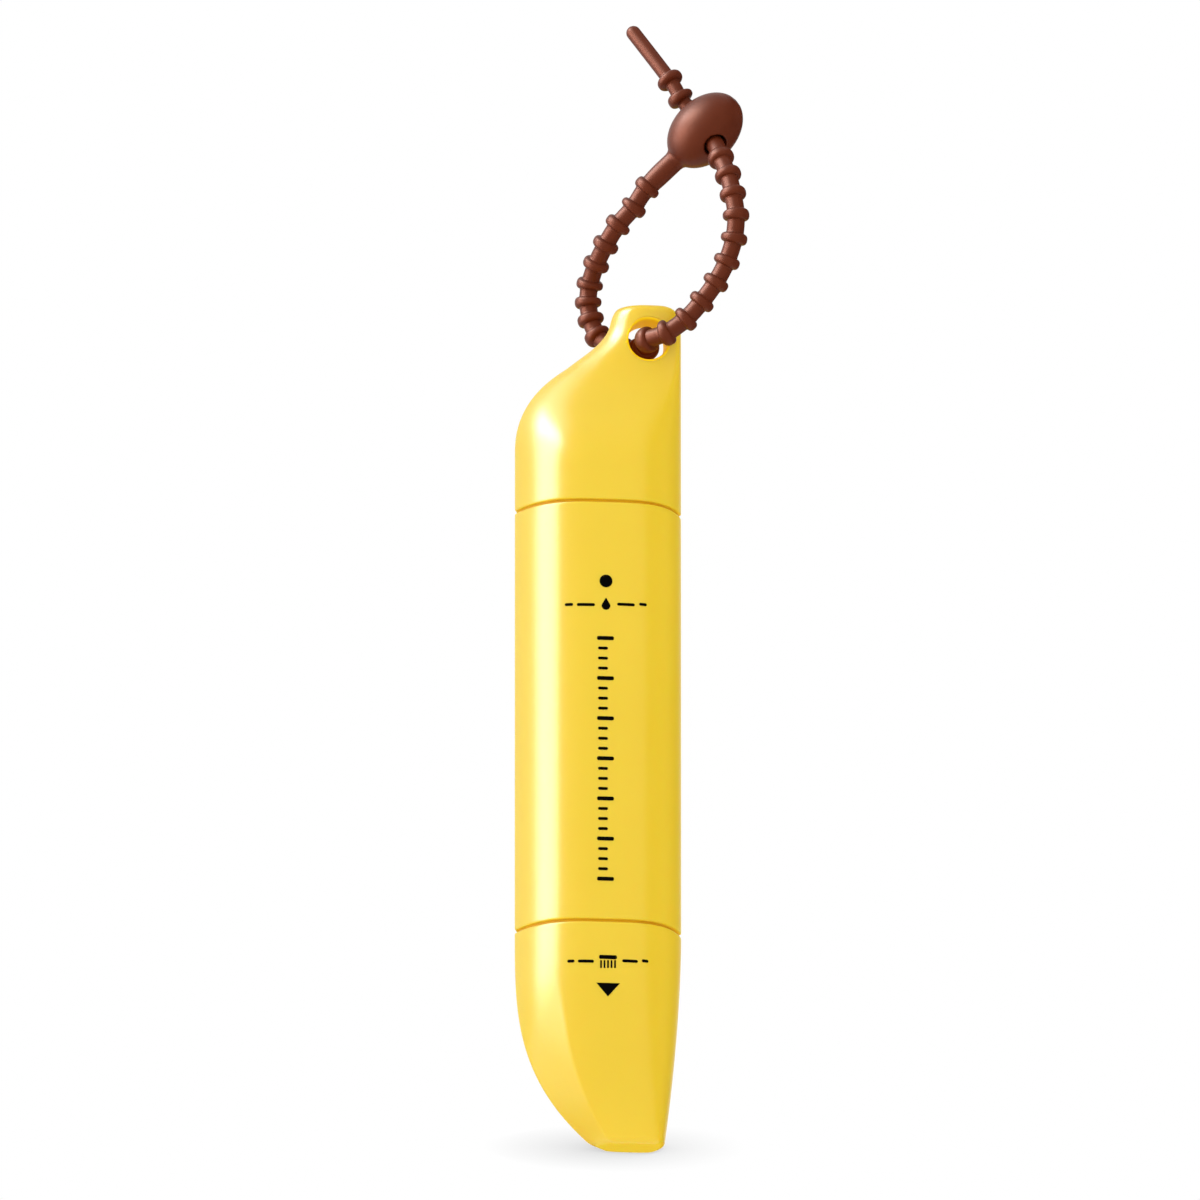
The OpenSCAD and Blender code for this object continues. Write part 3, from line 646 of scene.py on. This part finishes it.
# Nib
NIB_R, NIB_LOW, FUR_LOW, DOME_LOW, DOME = 2.38, 110.02, 115.2, 116.35, 1.8
angles = [math.pi / 2 * k / 20 for k in range(1, 21)]
outline = [(0, NIB_LOW)] + [(NIB_R, NIB_LOW + 0.3 * k) for k in range(22)]
outline += [(NIB_R * math.cos(a), DOME_LOW + DOME * math.sin(a)) for a in angles]
nib = turned("felt_nib", outline, 72)
# Slightly furry felt on its upper part
for v in nib.data.vertices:
    d = Vector((v.co.x, v.co.y, 0))
    if d.length > 0.5 * MM and v.co.z > FUR_LOW * MM:
        v.co += d.normalized() * random.uniform(-0.05, 0.02) * MM
place(nib, "nib_body", "felt", felt, "nib")

# Materials of the solids that stay
stay = {
    "brush_cap_liner": white, "remover_cap_liner": white, "remover_collar": white, "brush_collar": white,
    "nozzle": white, "brush_head": white, "reservoir_tube": white, "reservoir_plug": white,
    "valve_stem": grey, "valve_seat": rubber, "remover_seal_ring": rubber, "brush_seal_ring": rubber,
    "valve_spring": steel, "fibre_core": felt,
}
for name, m in stay.items():
    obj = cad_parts[name]
    obj.data.materials.clear()
    obj.data.materials.append(m)

# Prints on the front
PRINT_LIFT = 0.02


def front_at(x, z):
    """Depth of the front face at a place, in millimetres."""
    if z < LOW:
        ring = toe_section(z, 0)
    elif z > HIGH:
        ring = lug_section(z, 0, 0)
    else:
        ring = body_section(0)
    front = sorted(p for p in ring if p[1] <= 0)
    for a, b in zip(front, front[1:]):
        if a[0] <= x <= b[0]:
            return mix(a[1], b[1], (x - a[0]) / max(1e-9, b[0] - a[0]))
    return -HALF_D


def prints(name, shapes, body):
    """Convex shapes, each a list of (x, z) round a middle, laid on the front face."""
    verts, faces = [], []
    for shape in shapes:
        n = len(shape)
        cx, cz = sum(p[0] for p in shape) / n, sum(p[1] for p in shape) / n
        first = len(verts)
        for f in (1.0, 0.75, 0.5, 0.25):
            for x, z in shape:
                x, z = cx + (x - cx) * f, cz + (z - cz) * f
                verts.append((x, front_at(x, z) - PRINT_LIFT, z))
        verts.append((cx, front_at(cx, cz) - PRINT_LIFT, cz))
        for k in range(3):
            for i in range(n):
                j = (i + 1) % n
                inner = first + k * n
                faces.append((inner + i, inner + j, inner + n + j, inner + n + i))
        for i in range(n):
            faces.append((first + 3 * n + i, first + 3 * n + (i + 1) % n, first + 4 * n))
    place(new_mesh(name, verts, faces), body, "shell", ink)


def disc(x, z, r):
    """Round dot round a middle."""
    angles = [2 * math.pi * k / 40 for k in range(40)]
    return [(x + r * math.cos(a), z + r * math.sin(a)) for a in angles]


def dense(points):
    """Outline with points at most about 0.35 mm apart, so that it follows the face."""
    out = []
    for a, b in zip(points, points[1:] + points[:1]):
        steps = max(1, int(math.dist(a, b) / 0.35))
        out += [(mix(a[0], b[0], k / steps), mix(a[1], b[1], k / steps)) for k in range(steps)]
    return out


def bar(x, z, w, h, r):
    """Bar with rounded corners round a middle."""
    r = min(r, w / 2, h / 2)
    out = []
    for sx, sz, a0 in ((1, 1, 0), (-1, 1, 90), (-1, -1, 180), (1, -1, 270)):
        for k in range(6):
            a = math.radians(a0 + 18 * k)
            out.append((x + sx * (w / 2 - r) + r * math.cos(a), z + sz * (h / 2 - r) + r * math.sin(a)))
    return dense(out)


def on_front(px, py):
    """Place on the front face that shows at a pixel of the frame, found step by step."""
    side, rise = (px - AXIS_PX) * MM_PER_PIXEL, (FOOT_PX - py) * MM_PER_PIXEL - FOOT_DROP
    x, y = side, -HALF_D
    for _ in range(12):
        x = (side + y * math.sin(AZ)) / math.cos(AZ)
        t = -x * math.sin(AZ) - y * math.cos(AZ)
        z = (rise - t * math.sin(EL)) / math.cos(EL)
        y = front_at(x, z)
    return x, z


def px_bar(px, py, w, h, r=0.25):
    """Bar round a pixel, with its size in pixels."""
    x, z = on_front(px, py)
    return bar(x, z, w * MM_PER_PIXEL, h * MM_PER_PIXEL, r)


def drop(px, py, r, tall):
    """Falling drop round a pixel, its point at the top."""
    x, z = on_front(px, py)
    out = []
    for k in range(40):
        a = 2 * math.pi * k / 40
        up = math.sin(a)
        lift = max(0, up) ** 2
        out.append((x + r * math.cos(a) * (1 - 0.55 * lift), z + r * up + (tall - 2 * r) * lift ** 1.5))
    return out


def rules(px, py, pairs):
    """Thin bars on both sides of a pixel, each with its distance and length in pixels."""
    return [px_bar(px + side * x, py, w, 3) for side in (-1, 1) for x, w in pairs]


# Middles in the photograph, in pixels
DOT_PX, DOT_PY, DROP_PY, DROP_RULE_PY = 606, 581, 605.5, 604.5
SCALE_PX, LONG_PX, SCALE_PY, SCALE_TALL, LINES = 603, 605.5, 638, 240, 25
BRUSH_PX, BRUSH_PY, BRUSH_RULE_PY, TRIANGLE_PY = 608, 956, 960, 988.5
TEETH_PX, TEETH_PY, TEETH_PITCH = 601, 963, 3.5

# Print of the remover end: dot, drop between rules, and a scale with every fourth line longer
shapes = [disc(*on_front(DOT_PX, DOT_PY), 1.06), drop(DOT_PX, DROP_PY, 0.72, 2.0)]
shapes += rules(DOT_PX, DROP_RULE_PY, ((20, 18), (37, 8)))
for k in range(LINES):
    px, w, h = (SCALE_PX, 10, 3) if k % 4 else (LONG_PX, 17, 4)
    shapes.append(px_bar(px, SCALE_PY + SCALE_TALL * k / (LINES - 1), w, h))
prints("print_remover_end", shapes, "pen_body")

# Print of the brush end: triangle, brush between rules
tx, tz = on_front(BRUSH_PX, TRIANGLE_PY)
shapes = [dense([(tx + 1.95, tz + 1.1), (tx, tz - 1.1), (tx - 1.95, tz + 1.1)])]
shapes.append(px_bar(BRUSH_PX, BRUSH_PY, 18, 4))
shapes += [px_bar(TEETH_PX + TEETH_PITCH * k, TEETH_PY, 1.8, 8, 0.1) for k in range(5)]
shapes += rules(BRUSH_PX, BRUSH_RULE_PY, ((22, 16), (37, 7)))
prints("print_brush_end", shapes, "brush_cap_body")

# Floor
FLOOR_Z, WINDOW_HIGH = -0.02, 12
# The camera is lower than the sheet, so there is a window in it between the camera and the pen's foot: the
# outlines of the pen's lowest part, moved along the line of sight onto the sheet
outline = []
for k in range(41):
    z = WINDOW_HIGH * (k / 40) ** 2
    t = z / -TO_CAMERA.z
    outline += [(x + TO_CAMERA.x * t, y + TO_CAMERA.y * t) for x, y in toe_section(z, 0)]
outline = sorted(set((round(x, 5), round(y, 5)) for x, y in outline))


def half_hull(points):
    """One side of the convex hull of points in order of x, without its last point."""
    hull = []
    for p in points:
        while len(hull) > 1 and ((hull[-1][0] - hull[-2][0]) * (p[1] - hull[-2][1])
                                 - (hull[-1][1] - hull[-2][1]) * (p[0] - hull[-2][0])) <= 0:
            hull.pop()
        hull.append(p)
    return hull[:-1]


rim = half_hull(outline) + half_hull(outline[::-1])
rim = [p for p, q in zip(rim, rim[-1:] + rim[:-1]) if math.dist(p, q) > 0.02]
n = len(rim)
cx, cy = sum(p[0] for p in rim) / n, sum(p[1] for p in rim) / n
ways_out = []
for p, q in zip(rim[-1:] + rim[:-1], rim[1:] + rim[:1]):
    ways_out.append(Vector((q[1] - p[1], p[0] - q[0])).normalized())
verts = [(cx + (x - cx) * f, cy + (y - cy) * f, FLOOR_Z) for f in (0.3, 0.6) for x, y in rim]
reach = [0, 1, 2, 4, 8, 15, 25, 40, 80, 200, 500, 1200, 3000]
verts += [(p[0] + way.x * d, p[1] + way.y * d, FLOOR_Z) for d in reach for p, way in zip(rim, ways_out)]
faces = [tuple(range(n))]
for k in range(len(reach) + 1):
    for i in range(n):
        j = (i + 1) % n
        faces.append((k * n + i, (k + 1) * n + i, (k + 1) * n + j, k * n + j))
floor = new_mesh("floor", verts, faces)

SHADE_REACH, DEEPEST_SHADE = 13.5 * MM, 0.62


def sheet(name, shaded, window=False):
    """White paper for the light from above, seen by the camera as glass, with shade next to the pen.
    A window lets that light through too, and has no shade for a camera below the sheet."""
    m = bpy.data.materials.new(name)
    m.use_nodes = True
    t = m.node_tree

    def node(kind, *links, **values):
        made = t.nodes.new("ShaderNode" + kind)
        for key, value in values.items():
            made.inputs[key.replace("_", " ")].default_value = value
        for socket, value in zip(made.inputs, links):
            t.links.new(value, socket)
        return made

    paper = t.nodes["Principled BSDF"]
    paper.inputs["Base Color"].default_value = (0.86, 0.86, 0.86, 1)
    paper.inputs["Roughness"].default_value = 0.9
    paper.inputs["Specular IOR Level"].default_value = 0.1
    side = node("NewGeometry").outputs["Backfacing"]
    glass, clear = node("BsdfTransparent"), node("BsdfTransparent")
    if shaded:
        flip = node("MapRange", side, To_Min=1, To_Max=-1)
        upwards = node("VectorMath", node("NewGeometry").outputs["Normal"])
        upwards.operation = "SCALE"
        t.links.new(flip.outputs[0], upwards.inputs["Scale"])
        near = node("AmbientOcclusion", Distance=SHADE_REACH)
        near.samples = 8
        t.links.new(upwards.outputs[0], near.inputs["Normal"])
        shade = node("MapRange", near.outputs["AO"], To_Min=DEEPEST_SHADE)
        t.links.new(shade.outputs[0], glass.inputs[0])
    camera_side = node("MixShader", side, glass.outputs[0], (clear if window else glass).outputs[0])
    light_side = node("MixShader", side, (clear if window else paper).outputs[0], clear.outputs[0])
    rays = node("LightPath").outputs["Is Camera Ray"]
    pick = node("MixShader", rays, light_side.outputs[0], camera_side.outputs[0])
    t.links.new(pick.outputs[0], t.nodes["Material Output"].inputs["Surface"])
    return m


floor.data.materials.append(sheet("paper_window", True, True))
floor.data.materials.append(sheet("paper_near", True))
floor.data.materials.append(sheet("paper", False))
WINDOW_FACES, NEAR_FACES = 1 + 2 * n, 1 + 9 * n
for k, f in enumerate(floor.data.polygons):
    f.material_index = 0 if k < WINDOW_FACES else 1 if k < NEAR_FACES else 2
floor.visible_glossy = False

# World
WORLD_SEEN, WORLD_LIGHT = 1.0, 0.93  # strength where it is seen, straight or in gloss, and as light
world = bpy.data.worlds.new("studio")
bpy.context.scene.world = world
world.use_nodes = True
t = world.node_tree
back = t.nodes["Background"]
back.inputs["Color"].default_value = (1, 1, 1, 1)
rays = t.nodes.new("ShaderNodeLightPath")
seen = rays.outputs["Is Camera Ray"]
for kind in ("Is Glossy Ray", "Is Transmission Ray"):
    either = t.nodes.new("ShaderNodeMath")
    either.operation = "MAXIMUM"
    t.links.new(seen, either.inputs[0])
    t.links.new(rays.outputs[kind], either.inputs[1])
    seen = either.outputs[0]
level = t.nodes.new("ShaderNodeMapRange")
level.inputs["To Min"].default_value = WORLD_LIGHT
level.inputs["To Max"].default_value = WORLD_SEEN
t.links.new(seen, level.inputs["Value"])
t.links.new(level.outputs["Result"], back.inputs["Strength"])


# Lamps
AIM = Vector((0, 0, 0.085))


def facing(azimuth, elevation):
    """Direction from the pen at an azimuth from the front towards the left."""
    a, e = math.radians(azimuth), math.radians(elevation)
    return Vector((-math.sin(a) * math.cos(e), -math.cos(a) * math.cos(e), math.sin(e)))


def lamp(name, azimuth, elevation, distance, width, height, radiance, color=(1, 1, 1),
         diffuse=True, glossy=True):
    """Soft box that looks at the pen, given by the radiance of its face."""
    way = facing(azimuth, elevation)
    data = bpy.data.lights.new(name, "AREA")
    data.shape, data.size, data.size_y = "RECTANGLE", width, height
    data.energy, data.color = radiance * math.pi * width * height, color
    obj = bpy.data.objects.new(name, data)
    bpy.context.collection.objects.link(obj)
    obj.visible_diffuse, obj.visible_glossy, obj.visible_camera = diffuse, glossy, False
    obj.location = AIM + way * distance
    obj.rotation_mode = "QUATERNION"
    obj.rotation_quaternion = (-way).to_track_quat("-Z", "Y")


# Tall soft box on the left, seen in gloss only, in bands of (lowest elevation, highest, radiance)
STRIP_AZ, STRIP_AWAY, STRIP_WIDE = 81, 1.5, 1.25
BANDS = ((-40, -18, 2.0), (-18, -2, 6.0), (-2, 34, 13.0), (34, 54, 24.0), (54, 75, 3.0))
for k, (low, high, radiance) in enumerate(BANDS):
    size = STRIP_AWAY * math.radians(high - low)
    lamp("strip_box_%d" % k, STRIP_AZ, (low + high) / 2, STRIP_AWAY, STRIP_WIDE, size, radiance,
         diffuse=False)
lamp("key_box", 45, 15, 1.6, 2.0, 2.0, 0.62, glossy=False)
lamp("fill_box", -110, 0, 1.6, 1.0, 1.6, 1.8, (1, 0.92, 0.8), glossy=False)

# Cards
CARD_AWAY = 900


def card(name, first, last, low, high, m):
    """Curved card round the pen between two azimuths and two heights, seen in gloss only."""
    verts = [tuple(facing(mix(first, last, k / 24), 0) * CARD_AWAY + Vector((0, 0, mix(low, high, j / 8))))
             for k in range(25) for j in range(9)]
    faces = [(a, a + 1, a + 10, a + 9) for k in range(24) for a in range(k * 9, k * 9 + 8)]
    obj = new_mesh(name, verts, faces)
    obj.visible_camera = obj.visible_diffuse = obj.visible_shadow = obj.visible_transmission = False
    obj.data.materials.append(m)


# The pen's right side reflects a dark card, its undersides a gold one
dark = material("dark_card", (0.02, 0.02, 0.02), 0.9, 0.0)
card("dark_card", -47, -150, -700, 1500, dark)
gold = material("gold_card", (0.02, 0.02, 0.02), 0.9, 0.0, Emission_Color=(0.9, 0.58, 0.04, 1),
                Emission_Strength=0.9)
card("gold_card", -150, -195, -700, 60, gold)
